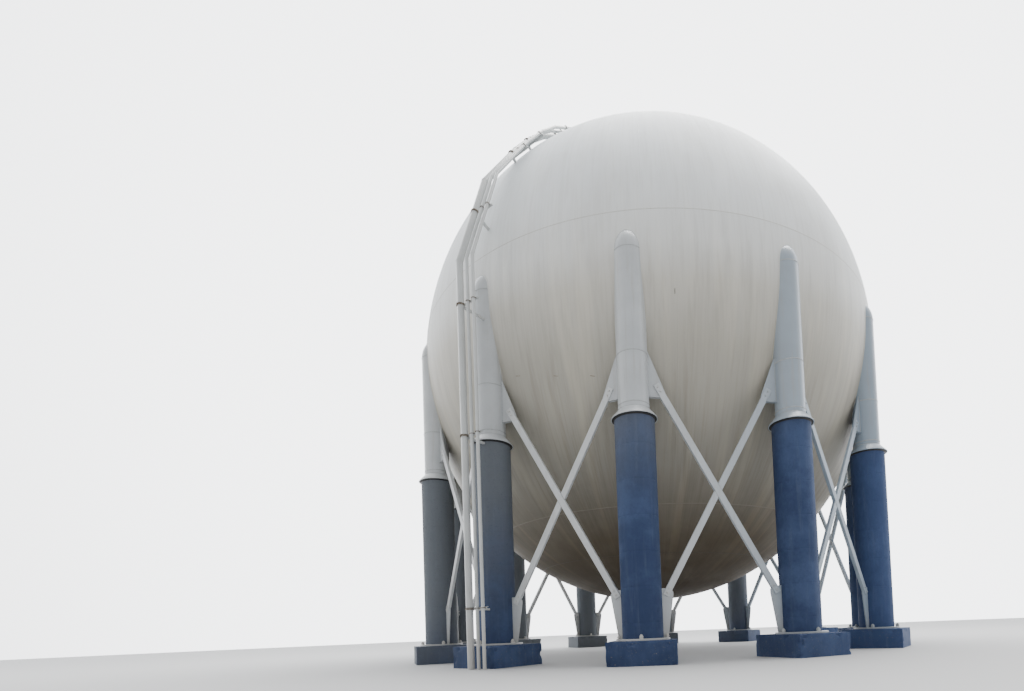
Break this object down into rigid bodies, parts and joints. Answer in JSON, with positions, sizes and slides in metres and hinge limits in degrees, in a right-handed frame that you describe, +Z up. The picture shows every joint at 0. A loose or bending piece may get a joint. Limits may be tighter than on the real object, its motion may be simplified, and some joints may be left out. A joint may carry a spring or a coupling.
{
  "type": "spherical gas storage tank",
  "caption": "White welded ball tank for liquefied gas on braced columns cased in blue concrete, with risers over the shell.",
  "frame": {"origin": "on the floor under the centre of the ball", "axes": "+Z up; column 01 stands towards -Y; the columns are numbered anticlockwise seen from above, so column 04 stands towards +X"},
  "size_m": [13.94, 13.94, 14.9],
  "materials": {
    "shell_paint": "weathered white gloss paint with dirt streaks",
    "frame_paint": "weathered white paint",
    "pipe_paint": "satin grey-white paint",
    "casing_concrete": "blue painted cement render",
    "pedestal_concrete": "blue painted concrete, chipped"
  },
  "bodies": {
    "root": {"crown_end": "shell_paint", "upper_shell_course": "shell_paint", "lower_shell_course": "shell_paint", "bottom_end": "shell_paint", "pedestal_01": "pedestal_concrete", "column_01": "frame_paint", "fireproof_casing_01": "casing_concrete", "cross_brace_01": "frame_paint", "pedestal_02": "pedestal_concrete", "column_02": "frame_paint", "fireproof_casing_02": "casing_concrete", "cross_brace_02": "frame_paint", "pedestal_03": "pedestal_concrete", "column_03": "frame_paint", "fireproof_casing_03": "casing_concrete", "cross_brace_03": "frame_paint", "pedestal_04": "pedestal_concrete", "column_04": "frame_paint", "fireproof_casing_04": "casing_concrete", "cross_brace_04": "frame_paint", "pedestal_05": "pedestal_concrete", "column_05": "frame_paint", "fireproof_casing_05": "casing_concrete", "cross_brace_05": "frame_paint", "pedestal_06": "pedestal_concrete", "column_06": "frame_paint", "fireproof_casing_06": "casing_concrete", "cross_brace_06": "frame_paint", "pedestal_07": "pedestal_concrete", "column_07": "frame_paint", "fireproof_casing_07": "casing_concrete", "cross_brace_07": "frame_paint", "pedestal_08": "pedestal_concrete", "column_08": "frame_paint", "fireproof_casing_08": "casing_concrete", "cross_brace_08": "frame_paint", "pedestal_09": "pedestal_concrete", "column_09": "frame_paint", "fireproof_casing_09": "casing_concrete", "cross_brace_09": "frame_paint", "pedestal_10": "pedestal_concrete", "column_10": "frame_paint", "fireproof_casing_10": "casing_concrete", "cross_brace_10": "frame_paint", "pedestal_11": "pedestal_concrete", "column_11": "frame_paint", "fireproof_casing_11": "casing_concrete", "cross_brace_11": "frame_paint", "pedestal_12": "pedestal_concrete", "column_12": "frame_paint", "fireproof_casing_12": "casing_concrete", "cross_brace_12": "frame_paint", "main_riser": "pipe_paint", "inner_small_riser": "pipe_paint", "outer_small_riser": "pipe_paint", "crown_manway": "pipe_paint"}
  },
  "joints": []
}
